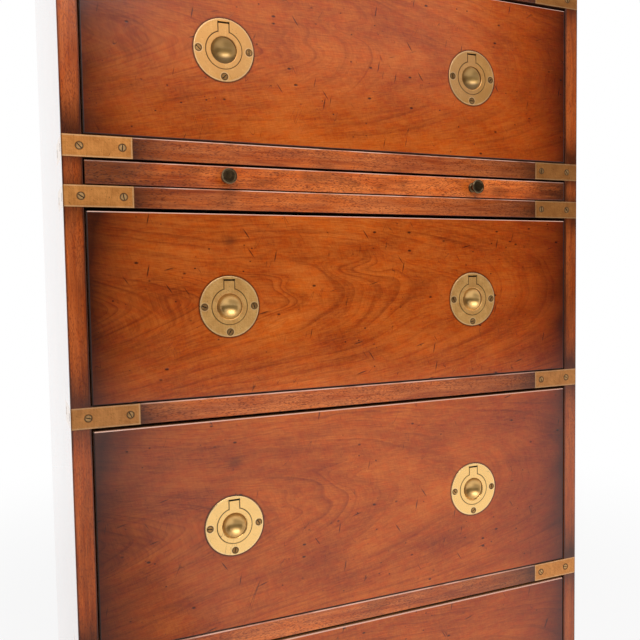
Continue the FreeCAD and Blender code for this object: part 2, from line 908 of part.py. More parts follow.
def knob_profile():
    """Half the section of a turned knob, its foot at height 0 and its dished face outwards."""
    face = s.knob_projection
    shoulder = face - s.knob_rim
    bevel = s.knob_rim / 3
    return [
        (0, 0),
        (s.knob_foot_radius, 0),
        (s.knob_foot_radius, s.knob_foot),
        (s.knob_neck_radius, s.knob_foot + s.knob_foot_radius - s.knob_neck_radius),
        (s.knob_neck_radius, shoulder - s.knob_foot),
        (s.knob_radius, shoulder + bevel),
        (s.knob_radius, face - bevel),
        (s.knob_radius - bevel, face),
        (s.knob_dish_radius, face),
        (s.knob_dish_radius - s.knob_dish, face - s.knob_dish),
        (0, face - s.knob_dish),
    ]


def brushing_slide():
    """The sliding board, its front lipping, and two knobs held by studs."""
    floor_level = floors["slide"]
    half = inner_half - s.front_end_gap
    low = floor_level + s.slide_bottom_gap
    top = floor_level + s.slide_opening - s.slide_top_gap
    board_low = (-half, front + s.slide_lip_depth, floor_level)
    board_extent = (2 * half, s.slide_length - s.slide_lip_depth, top - floor_level)
    keep(box("slide_panel", board_low, board_extent), "slide_board")

    plan = rectangle(-half, 0, half, s.slide_lip_depth)
    lip = padded_body("slide_lip_blank", "XY_Plane", plan, top - low)
    place(lip, (0, front, low))
    rounded = rounded_body(lip, s.front_arris, lambda edge: is_edge_on(edge, 0))

    knob_master = turned_body("knob", knob_profile())
    middle = floor_level + s.slide_opening / 2 - s.slide_bottom_gap / 2
    knobs = []
    studs = []
    for side_name, sign in SIDES:
        x = sign * s.knob_offset
        knobs.append(copy(f"knob_{side_name}", knob_master, (x, front, middle), DRIVE["front"]))
        stud_at = (x, front - s.stud_depth_in_knob, middle)
        studs.append(cylinder(f"stud_{side_name}", s.stud_radius, s.stud_length, stud_at, INTO_DRAWER))
    keep(cut("slide_lip_cut", rounded, studs), "slide_lip")
    keep(cut("slide_knobs_cut", group("knobs", knobs), studs), "slide_knobs")
    keep(group("stud_group", studs), "knob_studs")


brushing_slide()


# ---------------------------------------------------------------- check and write


def check_model():
    for thing in doc.Objects:
        if "Invalid" in thing.State or "Error" in thing.State:
            raise RuntimeError(f"{thing.Name} failed: {thing.State}")
    for part in parts:
        shape = part.Shape
        if shape.isNull() or not shape.isValid() or not shape.Solids:
            raise RuntimeError(f"{part.Label} has no valid solid")


def write_parts():
    os.makedirs("parts", exist_ok=True)
    for part in parts:
        part.Shape.exportStep(os.path.join("parts", part.Label + ".step"))


doc.recompute()
check_model()
write_parts()
print(len(parts), "parts written", flush=True)
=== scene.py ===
import math

import bpy
from mathutils import Matrix, Vector


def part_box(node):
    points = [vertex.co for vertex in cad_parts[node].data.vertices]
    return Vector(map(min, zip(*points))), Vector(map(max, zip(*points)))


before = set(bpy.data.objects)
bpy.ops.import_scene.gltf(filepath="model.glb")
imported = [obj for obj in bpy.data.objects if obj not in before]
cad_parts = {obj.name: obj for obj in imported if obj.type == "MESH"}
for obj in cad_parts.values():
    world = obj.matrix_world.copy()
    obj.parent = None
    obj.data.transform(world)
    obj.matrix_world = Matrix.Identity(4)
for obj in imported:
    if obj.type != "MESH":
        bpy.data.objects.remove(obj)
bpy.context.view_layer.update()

# Campaign chest: the finishes of its wood, brass and bronze, and the studio that it stands in.
# +Z is up and the front faces -Y. The studio and the camera are in metres. The places taken from
# the frame, and all lengths inside the materials, are in millimetres.

MM = 1000.0
DRAWERS = [f"drawer_{number}" for number in range(1, 6)]
SIDES = ("left", "right")


# ---------------------------------------------------------------- places taken from the frame


def middle(node, axis):
    low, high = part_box(node)
    return (low[axis] + high[axis]) / 2 * MM


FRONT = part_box("side_left")[0].y * MM
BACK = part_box("side_left")[1].y * MM
HALF_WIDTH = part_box("side_right")[1].x * MM
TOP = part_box("top_board")[1].z * MM
STILE = HALF_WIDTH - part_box("front_rails")[1].x * MM
FRONT_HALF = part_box("drawer_1_front")[1].x * MM
STRAP_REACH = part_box("straps")[1].y * MM - FRONT
STRAP_END = HALF_WIDTH - STRAP_REACH
PLATE_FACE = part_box("drawer_1_pull_bases")[0].y * MM
PLATE_RADIUS = (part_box("drawer_1_pull_bases")[1].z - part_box("drawer_1_pull_bases")[0].z) / 2 * MM
PULL_OFFSET = middle("drawer_1_ring_right", 0)
KNOB_RADIUS = (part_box("slide_knobs")[1].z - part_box("slide_knobs")[0].z) / 2 * MM
KNOB_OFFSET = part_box("slide_knobs")[1].x * MM - KNOB_RADIUS

# The top of each front rail is level with the bottom of what runs on it, from the lowest rail up.
ON_RAILS = ["drawer_4_sides", "drawer_3_sides", "slide_board", "drawer_2_sides", "drawer_1_sides"]
RAIL_TOPS = [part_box(runs_on_it)[0].z * MM for runs_on_it in ON_RAILS]
RAIL_HEIGHT = RAIL_TOPS[0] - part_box("front_rails")[0].z * MM
RAIL_LEVELS = [top - RAIL_HEIGHT / 2 for top in RAIL_TOPS]
LIP_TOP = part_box("slide_lip")[1].z * MM
LIP_LEVEL = middle("slide_lip", 2)

# The radius of every screw head, and how far a strap's two screws are from the chest's edge.
SCREW_HEAD = 3.3
SCREW_OFFSETS = (16.0, 55.2)
SCREW_LEVELS = [middle("bottom_board", 2), *RAIL_LEVELS, middle("top_board", 2)]


def pull_level(drawer):
    low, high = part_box(drawer + "_pull_bases")
    return (low.z + high.z) / 2 * MM


# ---------------------------------------------------------------- how materials are written


def paint(red, green, blue):
    """A display colour, 0 to 255 for each part, as the linear colour that a socket takes."""
    linear = []
    for part in (red, green, blue):
        share = part / 255
        linear.append(share / 12.92 if share <= 0.04045 else ((share + 0.055) / 1.055) ** 2.4)
    return (*linear, 1.0)


class Wire:
    """A value that varies over a surface: a socket, with the arithmetic that adds Math nodes."""

    def __init__(self, recipe, socket):
        self.recipe = recipe
        self.socket = socket

    def __add__(self, other):
        return self.recipe.math("ADD", self, other)

    def __radd__(self, other):
        return self.recipe.math("ADD", other, self)

    def __sub__(self, other):
        return self.recipe.math("SUBTRACT", self, other)

    def __rsub__(self, other):
        return self.recipe.math("SUBTRACT", other, self)

    def __mul__(self, other):
        return self.recipe.math("MULTIPLY", self, other)

    def __rmul__(self, other):
        return self.recipe.math("MULTIPLY", other, self)

    def __truediv__(self, other):
        return self.recipe.math("DIVIDE", self, other)

    def __rtruediv__(self, other):
        return self.recipe.math("DIVIDE", other, self)

    def __abs__(self):
        return self.recipe.math("ABSOLUTE", self)


class Recipe:
    """A material and its node tree, written as expressions."""

    def __init__(self, name, tree=None):
        if tree is None:
            self.material = bpy.data.materials.new(name)
            self.material.use_nodes = True
            tree = self.material.node_tree
        self.tree = tree
        self.tree.nodes.clear()

    def node(self, kind, settings=None, inputs=None):
        """Adds a node. Its settings come first, and then the values or links of its sockets."""
        made = self.tree.nodes.new("ShaderNode" + kind)
        for name, value in (settings or {}).items():
            if name == "stops":
                set_stops(made.color_ramp, value)
            else:
                setattr(made, name, value)
        for name, value in (inputs or {}).items():
            socket = made.inputs[name]
            if isinstance(value, Wire):
                self.tree.links.new(value.socket, socket)
            else:
                socket.default_value = value
        return made

    def wire(self, kind, settings=None, inputs=None, output=0):
        return Wire(self, self.node(kind, settings, inputs).outputs[output])

    def length(self, across, up):
        """The length of a flat vector."""
        return self.math("SQRT", across * across + up * up)

    def math(self, operation, *values):
        return self.wire("Math", {"operation": operation}, dict(enumerate(values)))

    def vector(self, x, y, z):
        return self.wire("CombineXYZ", None, {"X": x, "Y": y, "Z": z})

    def place(self):
        """The three coordinates of a point of the chest at rest, in millimetres."""
        spot = self.wire("TexCoord", output="Object")
        parts = self.node("SeparateXYZ", None, {"Vector": spot})
        return [Wire(self, parts.outputs[axis]) * MM for axis in "XYZ"]

    def grazing(self):
        """0 where the surface is seen square on, and 1 along its very edge."""
        return self.wire("LayerWeight", None, {"Blend": 0.5}, "Facing")

    def noise(self, spot, detail=2.0, roughness=0.5):
        """Cloudy noise around a half. spot is three numbers, in units of the noise's own size."""
        inputs = {"Vector": self.vector(*spot), "Scale": 1.0}
        inputs.update({"Detail": detail, "Roughness": roughness})
        return self.wire("TexNoise", None, inputs)

    def cells(self, spot):
        """The distance to the nearest of scattered points, and one random number for each point."""
        made = self.node("TexVoronoi", None, {"Vector": self.vector(*spot), "Scale": 1.0})
        split = self.node("SeparateColor", None, {"Color": Wire(self, made.outputs["Color"])})
        return Wire(self, made.outputs["Distance"]), Wire(self, split.outputs["Red"])

    def smooth(self, value, low, high):
        """0 at low and 1 at high, with a soft start and end."""
        inputs = {"Value": value, "From Min": low, "From Max": high}
        return self.wire("MapRange", {"interpolation_type": "SMOOTHSTEP"}, inputs)

    def hill(self, *offsets):
        """1 where all the offsets are 0, falling softly to almost nothing where one of them is 2."""
        total = sum(offset * offset for offset in offsets)
        return self.math("EXPONENT", 0 - total)

    def ramp(self, value, stops):
        """A colour read off a scale of (position, colour) stops."""
        return self.wire("ValToRGB", {"stops": stops}, {"Fac": value}, "Color")

    def mix(self, share, first, second):
        """From the first colour to the second as share goes from 0 to 1."""
        return self.blend("MIX", share, first, second)

    def blend(self, kind, share, first, second):
        settings = {"data_type": "RGBA", "blend_type": kind, "clamp_factor": True}
        made = self.node("Mix", settings, {0: share, 6: first, 7: second})
        return Wire(self, made.outputs[2])

    def bump(self, height, depth):
        """A surface normal from a height of 0 to 1, depth millimetres deep."""
        inputs = {"Height": height, "Distance": depth / MM, "Strength": 1.0}
        return self.wire("Bump", None, inputs, "Normal")

    def finish(self, inputs):
        """Ends the recipe in a Principled shader with these sockets."""
        shader = self.wire("BsdfPrincipled", None, inputs)
        self.node("OutputMaterial", None, {"Surface": shader})
        return self.material


def set_stops(ramp, stops):
    while len(ramp.elements) > 1:
        ramp.elements.remove(ramp.elements[-1])
    ramp.elements[0].position, ramp.elements[0].color = stops[0]
    for position, colour in stops[1:]:
        ramp.elements.new(position).color = colour


# ---------------------------------------------------------------- polished wood

# Dark polish, which is also the colour of the painted shade in gaps and round the plates.
DARK_POLISH = paint(34, 12, 5)
RED_POLISH = (1.0, 0.74, 0.3, 1.0)
# The colour of the painted highlight along the top edges of the polished wood.
EDGE_HIGHLIGHT_PAINT = paint(240, 192, 170)
PORE = paint(98, 35, 14)
GROWTH_LINE = paint(172, 134, 112)
AGED_WOOD = paint(176, 150, 120)
PIN_KNOT = paint(44, 16, 8)
SOFT_KNOT = paint(78, 33, 16)
OLD_DENT = paint(52, 19, 9)
VENEER_DEPTH = 1.6
# The roughness of the clear coat on polished wood and on lacquered brass.
COAT_ROUGHNESS = 0.05

# The soft knot's place: from the middle of a drawer front, and above the level of its pulls.
SOFT_KNOT_X = -146.0
SOFT_KNOT_RISE = 66.0

# A shade of straight wood up to DARKEST_POLISH is polish. Anything darker is matt dirt and painted
# shade in a gap.
DARKEST_POLISH = 0.905
GAP_DIRT_AND_SHADE = 0.94


def scattered_specks(r, x, z, size, leaf, share):
    """Small dark specks, one in some of the cells of a loose grid. share is how many cells have one."""
    distance, chance = r.cells((x / size, z / size, leaf))
    speck = 1 - r.smooth(distance, 0.05, 0.13)
    return speck * r.smooth(chance, 1 - share, 1.001 - share)


def scratches(r, x, z, leaf, lean):
    """A few fine straight scratches that lean from upright by a share of their length."""
    across = x - z * lean
    line = abs(r.noise((across / 9, z / 70, leaf), 0.0) - 0.5)
    kept = r.smooth(r.noise((x / 24, z / 24, leaf + 3.1), 1.0), 0.6, 0.68)
    return (1 - r.smooth(line, 0.001, 0.008)) * kept


def ticks(r, x, z, leaf, lean, share):
    """Short fine dents, all leaning the same way: lean is an angle from upright, in radians."""
    across = x * math.cos(lean) - z * math.sin(lean)
    along = x * math.sin(lean) + z * math.cos(lean)
    return scattered_specks(r, across, along / 9, 7.0, leaf, share)


def growth_lines(r, figure, run, spacing, leaf):
    """Lines that darken softly on one side and end sharply on the other, some strong and some weak."""
    uneven = r.noise((figure / (spacing * 2.5), run / 400, leaf), 1.0) * 3
    phase = r.math("FRACT", figure / spacing + uneven)
    line = r.smooth(phase, 0.35, 0.92) * (1 - r.smooth(phase, 0.92, 1.0))
    strength = r.smooth(r.noise((figure / (spacing * 0.9), run / 110, leaf + 2.2), 1.0), 0.35, 0.68)
    return line * strength


def ridge_figure(r, x, rise, drift, leaf):
    """The veneer's figure: a field whose contour lines are nested tongues that point to the right.

    They are sharp at the left and blunt at the right. Returns the field, and 1 in the tongues' long
    arms, which lie above and below their axis."""
    ripple = r.noise((x / 30, rise / 18, leaf * 0.3), 0.0) - 0.5
    up = rise + drift * 14 + ripple * 3
    off_axis = up - r.smooth(x, -215, 20) * 13 - 1
    square = off_axis * off_axis
    sharp = (r.math("SQRT", square + 36) - 6) * 1.9 + square * 0.022
    blunt = square / 76 + square * square / 9.5e5
    above = r.math("MAXIMUM", off_axis, 0.0) / 40
    figure = x + sharp + (blunt - sharp) * r.smooth(x, -190, 10) + above * above * above * 10
    kinks = r.math("SINE", off_axis * 0.2 + 0.4) * r.hill((x + 84) / 40, (off_axis - 6) / 46)
    finger = r.hill((up - 61) / 13) * r.smooth(x, -165, -85) * (1 - r.smooth(x, -15, 32))
    notch = r.hill((up - 37) / 9) * r.smooth(x, -64, -16) * (1 - r.smooth(x, 0, 50))
    ring = r.hill((x - 128) / 62, (up - 12) / 34)
    figure = figure + kinks * 11 - finger * 52 + notch * 32 - ring * 64 + ripple * 8
    return figure, r.smooth(abs(off_axis), 24, 60)


def figured_wood(r, x, rise, drift, leaf, bold):
    """The colour of the figured veneer, with growth lines that follow the figure, and its fibres."""
    figure, arms = ridge_figure(r, x, rise, drift, leaf)

    # The growth lines are wider apart in the long arms.
    run = x + rise * 0.3
    tips = growth_lines(r, figure, run, 14, leaf) * (1 - r.smooth(x, 40, 160) * 0.4)
    tips = tips + growth_lines(r, figure, run, 5.2, leaf + 3) * (0.5 - r.smooth(x, 40, 160) * 0.3)
    long_lines = growth_lines(r, figure, run, 48, leaf + 5) * 0.8
    long_lines = long_lines + growth_lines(r, figure, run, 21, leaf + 8) * 0.5
    lines = tips + (long_lines - tips) * arms
    bands = r.noise((figure / 30, run / 300, leaf + 1.3), 1.0) - 0.5
    wide_bands = r.noise((figure / 110, run / 300, leaf + 3.3), 1.0) - 0.5
    bands = bands + (wide_bands - bands) * arms

    # Fine streaks along the grain, a ripple across it, and soft clouds.
    lower_slope = r.smooth(rise, 25, -30) * 0.2
    streak_height = rise - x * lower_slope + drift * 14
    streaks = r.noise((streak_height / 1.6, run / 40, leaf + 4.4), 2.0, 0.65)
    fibres = r.noise((streak_height / 0.8, run / 7, leaf + 6.6), 1.0)
    ripples = r.noise((run / 1.3, streak_height / 6, leaf + 2.4), 1.0)
    cloud = r.noise((x / 70, rise / 34, leaf + 8.8), 2.0)
    tone = bands * 0.4 * bold + (streaks - 0.5) * 0.3 + (fibres - 0.5) * 0.4 + (ripples - 0.5) * 0.24
    tone = tone + (cloud - 0.5) * 0.6 + 0.5
    wood = r.ramp(
        tone,
        [
            (0.2, paint(134, 52, 10)),
            (0.42, paint(166, 76, 18)),
            (0.58, paint(185, 90, 25)),
            (0.8, paint(202, 106, 34)),
        ],
    )
    wood = r.blend("MULTIPLY", lines * 0.5 * bold, wood, GROWTH_LINE)
    flush = r.noise((x / 16, rise / 8, leaf + 12.1), 3.0, 0.6)
    return r.blend("MULTIPLY", r.smooth(flush, 0.4, 0.64) * 0.75, wood, RED_POLISH), fibres


def pin_knots(r, x, rise, leaf):
    """Small dark knots: some in loose crowds, some alone, and some in close clusters."""
    crowd = r.smooth(r.noise((x / 40, rise / 60, leaf + 1.7), 2.0), 0.46, 0.58)
    knots = scattered_specks(r, x / 1.4, rise, 8.5, leaf * 7.3, 0.6) * crowd
    knots = knots + scattered_specks(r, x / 1.8, rise, 13.0, leaf * 5.1, 0.4)
    cluster = r.smooth(r.noise((x / 30, rise / 26, leaf + 4.9), 1.0), 0.56, 0.62)
    return knots + scattered_specks(r, x / 1.4, rise, 4.8, leaf * 3.7, 0.55) * cluster


def old_marks(r, x, rise, leaf):
    """Scratches that lean two ways, and dents that lean three ways."""
    dents = ticks(r, x, rise, leaf * 2.3, 0.2, 0.4) + ticks(r, x, rise, leaf * 4.1, -0.6, 0.3)
    dents = dents + ticks(r, x, rise, leaf * 6.7, 1.3, 0.3)
    marks = scratches(r, x, rise, leaf * 2.3, 0.45) * 0.8
    return marks + scratches(r, x, rise, leaf * 8.9, -0.3) * 0.6 + dents


def figured_front(node, level, leaf, shade_reach, bold):
    """A polished drawer front in figured veneer.

    level is the height of its pulls. Each front is a leaf of the same flitch, so the figure
    repeats from drawer to drawer, and leaf shifts only its small detail. shade_reach is how far
    the dark polish reaches in from the left end, and bold is how strong the growth lines are."""
    r = Recipe(node + "_veneer")
    x, y, z = r.place()
    rise = z - level
    drift = r.noise((x / 150, rise / 70, leaf * 0.15), 0.0) - 0.5
    wood, fibres = figured_wood(r, x, rise, drift, leaf, bold)

    # Pin knots, a soft knot above the left pull, and marks of use.
    specks = pin_knots(r, x, rise, leaf)
    marks = old_marks(r, x, rise, leaf)
    knot = r.hill((x - SOFT_KNOT_X) / 7.5, (rise - SOFT_KNOT_RISE) / 5.5) * 0.55
    wood = r.mix(r.math("MINIMUM", specks * 0.85, 0.9), wood, PIN_KNOT)
    wood = r.mix(knot, wood, SOFT_KNOT)
    wood = r.mix(r.math("MINIMUM", marks * 0.8, 0.85), wood, OLD_DENT)

    # The polish is redder towards the right end, and dark at both ends and in the upper left corner.
    # Round the plates it has dirt and painted shadow.
    wander = (r.noise((x / 60, rise / 46, leaf + 5.5), 1.0) - 0.5) * 24
    from_left = r.math("MAXIMUM", x + FRONT_HALF + wander, 0.0)
    from_right = r.math("MAXIMUM", FRONT_HALF - x + wander, 0.0)
    wood = r.blend("MULTIPLY", r.math("EXPONENT", from_right / -90), wood, RED_POLISH)
    bottom, top = [corner.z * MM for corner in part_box(node)]
    shade = r.math("EXPONENT", from_left / -shade_reach) * 0.86
    shade = shade + r.math("EXPONENT", from_right / -56) * 0.9
    shade = shade + r.math("EXPONENT", (from_left + top - z) / -40) * 0.35
    wood = r.blend("MULTIPLY", shade * 0.8, wood, RED_POLISH)
    plate_dirt_and_shadow = r.hill((from_pull(r, x, z, level) - PLATE_RADIUS - 0.4) / 1.1) * 0.6
    wood = r.mix(r.math("MINIMUM", shade + plate_dirt_and_shadow, 0.92), wood, DARK_POLISH)

    # Its top edge has a painted highlight, and dirt and painted gap shade lie along its other edges.
    wood = r.mix(r.smooth(z, top - 1.2, top - 0.6) * 0.8, wood, EDGE_HIGHLIGHT_PAINT)
    inset = r.math("MINIMUM", FRONT_HALF - abs(x), z - bottom)
    edge_dirt_and_shade = 1 - r.smooth(inset, 0.5, 1.5)
    wood = r.mix(edge_dirt_and_shade * GAP_DIRT_AND_SHADE, wood, DARK_POLISH)

    # Behind the veneer the front is plain timber.
    core = r.ramp(
        r.noise((x / 70, y / 3, z / 3), 3.0),
        [(0.3, paint(132, 84, 48)), (0.7, paint(168, 114, 68))],
    )
    inside = r.smooth(y, FRONT + VENEER_DEPTH, FRONT + VENEER_DEPTH + 0.3)
    satin = r.noise((x / 30, rise / 22, leaf), 3.0) * 0.1 + 0.13
    height = (fibres - 0.5) * 0.4 - specks * 0.8 - marks * 0.5
    return r.finish(
        {
            "Base Color": r.mix(inside, wood, core),
            "Roughness": satin + inside * 0.3 + edge_dirt_and_shade * 0.5,
            "Normal": r.bump(height, 0.04),
        }
    )


def straight_wood(name, along, tones, shade=None, roughness=0.24, pores=1.0, varnish=0.0, tops=None):
    """Polished straight-grained wood with short dark pores.

    along is the axis that the grain follows, tones are its dark and light colours, and shade takes
    the recipe and the place and returns where the polish is dark, with painted shade in the gaps
    for some woods. roughness is that of the polish, and pores is how strong the pores are. varnish,
    from 0 to 1, is the gloss of the chest's own sides and top. tops are the heights of upper edges
    that get a painted highlight."""
    r = Recipe(name)
    place = r.place()
    run = place[along]
    across, depth = [place[axis] for axis in range(3) if axis != along]
    wander = (r.noise((run / 180, across / 40, depth / 40), 2.0) - 0.5) * 14
    rings = r.noise((run / 260, (across + wander) / 6, (depth + wander) / 6), 3.0, 0.6)
    fibre = r.noise((run / 22, across / 1.3, depth / 1.3), 2.0, 0.6)
    cloud = r.noise((run / 90, across / 24, depth / 24), 2.0)
    ribbon = r.noise((run / 900, (across + wander) / 30, (depth + wander) / 30), 1.0)
    tone = (rings - 0.5) * 0.5 + (fibre - 0.5) * 0.5 + (cloud - 0.5) * 0.5 + (ribbon - 0.5) * 0.3 + 0.5
    dark, light = tones
    wood = r.ramp(tone, [(0.3, dark), (0.7, light)])
    pore = r.noise((run / 2.6, across / 0.6, depth / 0.6), 1.0, 0.5)
    thick = r.noise((run / 45, across / 12, depth / 12), 2.0)
    pore = r.smooth(pore + (thick - 0.5) * 0.36, 0.5, 0.68) * pores
    wood = r.mix(pore * 0.6, wood, PORE)
    flush = r.noise((run / 40, across / 7, depth / 7), 2.0)
    wood = r.blend("MULTIPLY", r.smooth(flush, 0.42, 0.66) * 0.6, wood, RED_POLISH)
    satin = r.noise((run / 40, across / 20, depth / 20), 2.0) * 0.12 + (roughness - 0.06)
    shaded = 0.0
    if shade is not None:
        shaded = shade(r, *place)
        wood = r.mix(shaded, wood, DARK_POLISH)
        satin = satin + r.smooth(shaded, DARKEST_POLISH, GAP_DIRT_AND_SHADE) * 0.5
    # A painted highlight along the top edges, weaker where the polish is dark.
    if tops:
        below = nearest(r, place[2] + 0.4, tops)
        rubbed = r.smooth(r.noise((run / 34, across / 90, depth / 90), 2.0), 0.34, 0.56) * 0.5 + 0.3
        rubbed = rubbed * (1 - shaded * 0.65)
        wood = r.mix((1 - r.smooth(below, 0.35, 0.85)) * rubbed, wood, EDGE_HIGHLIGHT_PAINT)
    finish = {"Base Color": wood, "Normal": r.bump(fibre * 0.5 - pore, 0.02)}
    if varnish:
        gloss = r.smooth(place[1], FRONT + 1, FRONT + 2) * outer_face(r, place) * varnish
        satin = satin * (1 - gloss * 0.2)
        finish["Coat Weight"] = gloss * r.smooth(r.grazing(), 0.6, 0.9)
        finish["Coat Roughness"] = COAT_ROUGHNESS
    finish["Roughness"] = satin
    return r.finish(finish)


def inward(r, x, y):
    """Distance from the chest's nearest upright edge, over its front, side or back."""
    return HALF_WIDTH - abs(x) + r.math("MINIMUM", y - FRONT, BACK - y)


def outer_face(r, place):
    """1 on the chest's own sides and top, and 0 on the faces that are shut in."""
    out = r.math("MAXIMUM", abs(place[0]) - HALF_WIDTH, place[2] - TOP)
    return r.smooth(out, -3, -1)


def gap_dirt_and_shade(r, x, y, z):
    """Dirt, old polish and painted shade in the gaps round the drawers, just behind the front."""
    behind = r.smooth(y, FRONT + 0.5, FRONT + 1.5) * (1 - r.smooth(y, FRONT + 8, FRONT + 26))
    return behind * (1 - outer_face(r, (x, y, z))) * GAP_DIRT_AND_SHADE


def rail_shade(r, x, y, z):
    """Dark polish that fades out beside the straps, further at the right, and patches of it."""
    wander = (r.noise((x / 26, z / 12, y / 26)) - 0.5) * 22
    from_strap = r.math("MAXIMUM", inward(r, x, y) + wander - STRAP_REACH, 0.0)
    near_strap = r.math("EXPONENT", from_strap / (-38 - r.smooth(x, -30, 90) * 30)) * 0.86
    patch = r.smooth(r.noise((x / 55, z / 30, 2.0)), 0.5, 0.75) * 0.3
    return r.math("MAXIMUM", r.math("MAXIMUM", near_strap, patch), gap_dirt_and_shade(r, x, y, z))


def lip_shade(r, x, y, z):
    """Dark polish towards the ends of the slide's lipping, darker and narrower at the right."""
    reach = abs(x) + (r.noise((x / 22, z / 9, 5.0)) - 0.5) * 60 - r.smooth(x, 0, 200) * 24
    ends = r.smooth(reach, FRONT_HALF - 110, FRONT_HALF - 24) * (0.76 + r.smooth(x, -30, 90) * 0.13)
    patch = r.smooth(r.noise((x / 34, z / 20, 8.0)), 0.48, 0.72) * 0.35
    return r.math("MAXIMUM", r.math("MAXIMUM", ends, patch), gap_dirt_and_shade(r, x, y, z))


def side_shade(r, x, y, z):
    """Dark polish on the stiles, most of it above each strap, and soft patches all over.

    The right stile is darker, and both are lighter beside the slide. Their edges carry painted
    shade, and a seam along each strap is dark."""
    wander = (r.noise((x / 12, y / 60, z / 30)) - 0.5) * 22
    near_straps = 0.0
    for level in RAIL_LEVELS:
        near_straps = near_straps + r.hill((z + wander - level - 8) / 31)
    near_straps = near_straps * (1 - r.hill((z - LIP_LEVEL) / 15) * 0.72)
    on_front = 1 - r.smooth(y, FRONT + 0.5, FRONT + 14)
    patch = r.smooth(r.noise((x / 30, y / 110, z / 260)), 0.45, 0.75) * 0.35
    # Painted shade along the edges of the stiles' fronts, beside the gaps.
    edges = r.math("MINIMUM", HALF_WIDTH - abs(x), abs(x) - HALF_WIDTH + STILE)
    edges = (1 - r.smooth(edges, 0.3, 2.4)) * (1 - r.smooth(y, FRONT + 0.2, FRONT + 0.8)) * 0.7
    right_stile = r.smooth(x, 0, HALF_WIDTH) * on_front * 0.16
    dark = r.math("MINIMUM", near_straps * on_front * 0.78 + patch + edges + right_stile, 0.85)
    seam = r.hill((nearest(r, z, RAIL_LEVELS) - RAIL_HEIGHT / 2 - 0.3) / 0.6) * on_front * 0.8
    return r.math("MAXIMUM", r.math("MAXIMUM", dark, seam), gap_dirt_and_shade(r, x, y, z))


def plinth_shade(r, x, y, z):
    """The plinth is darker low down."""
    low = 1 - r.smooth(z + (r.noise((x / 30, y / 30, z / 12)) - 0.5) * 26, 6, 46)
    return low * 0.45 + 0.12


def bare_wood(name, along, tones, roughness=0.62):
    """Planed wood with no polish: soft growth rings, darker with age and handling."""
    r = Recipe(name)
    place = r.place()
    run = place[along]
    across, depth = [place[axis] for axis in range(3) if axis != along]
    wander = (r.noise((run / 240, across / 60, depth / 60), 2.0) - 0.5) * 22
    rings = r.noise((run / 400, (across + wander) / 5, (depth + wander) / 5), 3.0, 0.55)
    fibre = r.noise((run / 16, across / 0.8, depth / 0.8), 2.0)
    grime = r.noise((run / 320, across / 120, depth / 120), 3.0)
    dark, light = tones
    wood = r.ramp(rings * 0.6 + fibre * 0.3 + 0.05, [(0.32, dark), (0.68, light)])
    wood = r.blend("MULTIPLY", r.smooth(grime, 0.45, 0.8) * 0.55, wood, AGED_WOOD)
    return r.finish(
        {
            "Base Color": wood,
            "Roughness": fibre * 0.15 + roughness,
            "Normal": r.bump(fibre * 0.5 + rings * 0.5, 0.12),
        }
    )


# ---------------------------------------------------------------- brass, bronze and steel

# Dirt on brass. It is also the colour of the painted shade on the upper right straps and in screw
# slots.
BRASS_DIRT = paint(32, 17, 7)
TARNISHED_BRASS = paint(230, 182, 110)
PAINTED_HIGHLIGHT_BRASS = paint(255, 226, 180)
TARNISHED_ROUGHNESS = 0.33

# A pull's outlines, from its middle: the finger cup, the joint round the ring, and the ring's tab.
CUP_RADIUS = 13.8
RING_RADIUS = 18.7
TAB_HALF = 5.7
TAB_TOP = 27.9

# The radius of a slide knob's bright rim, and how far a plate's screws are from its middle.
KNOB_RIM = 7.2
PLATE_SCREW_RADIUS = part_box("drawer_1_pull_fixings")[1].x * MM - PULL_OFFSET - SCREW_HEAD


def fold(x, offset):
    """Distance along X from the middle of a left or right fitting."""
    return abs(x) - offset


def from_pull(r, x, z, level):
    """Distance from the middle of the nearer pull at this level."""
    return r.length(fold(x, PULL_OFFSET), z - level)


def nearest(r, value, places):
    """Distance to the nearest of some places along one direction."""
    best = abs(value - places[0])
    for place in places[1:]:
        best = r.math("MINIMUM", best, abs(value - place))
    return best


def from_strap_screw(r, x, y, z):
    """Distance to the nearest screw of a strap, or of a corner's level arm, on any side."""
    return r.length(nearest(r, inward(r, x, y), SCREW_OFFSETS), nearest(r, z, SCREW_LEVELS))


